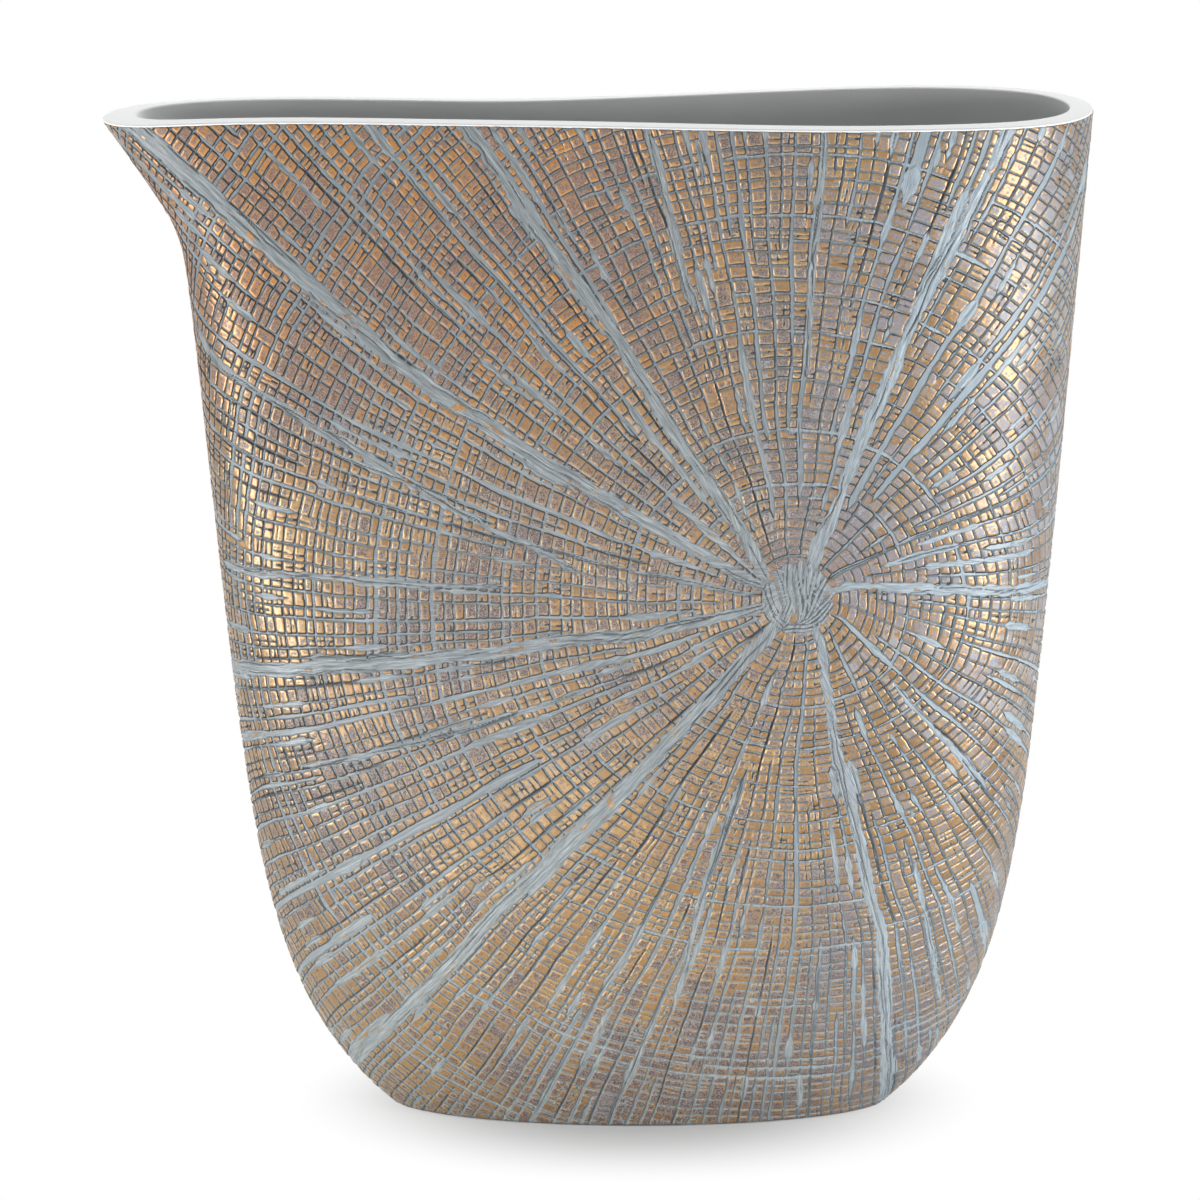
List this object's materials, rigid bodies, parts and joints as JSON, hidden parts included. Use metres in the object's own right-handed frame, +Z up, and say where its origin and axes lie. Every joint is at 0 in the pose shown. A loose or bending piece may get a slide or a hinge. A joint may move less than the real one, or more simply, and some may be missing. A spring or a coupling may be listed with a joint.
{
  "type": "decorative vase",
  "caption": "Flattened free-standing vase with a pinched pouring spout, an oval foot and an all-over carved end-grain relief in blue-grey and copper-gold.",
  "frame": {"origin": "on the floor, under the centre of the vase's box", "axes": "+X from the spout to the round end, +Y to the back, +Z up"},
  "size_m": [0.3096, 0.0852, 0.3261],
  "materials": {
    "carved_resin": "carved and painted: blue-grey in the grooves, copper-gold rubbed on the raised cells, darker patina in their middles",
    "smooth_grey": "smooth satin grey",
    "felt": "short pressed felt"
  },
  "bodies": {
    "root": {"vase_body": "carved_resin", "inner_lining": "smooth_grey", "foot_pad_spout_front": "felt", "foot_pad_spout_back": "felt", "foot_pad_round_front": "felt", "foot_pad_round_back": "felt"}
  },
  "joints": []
}
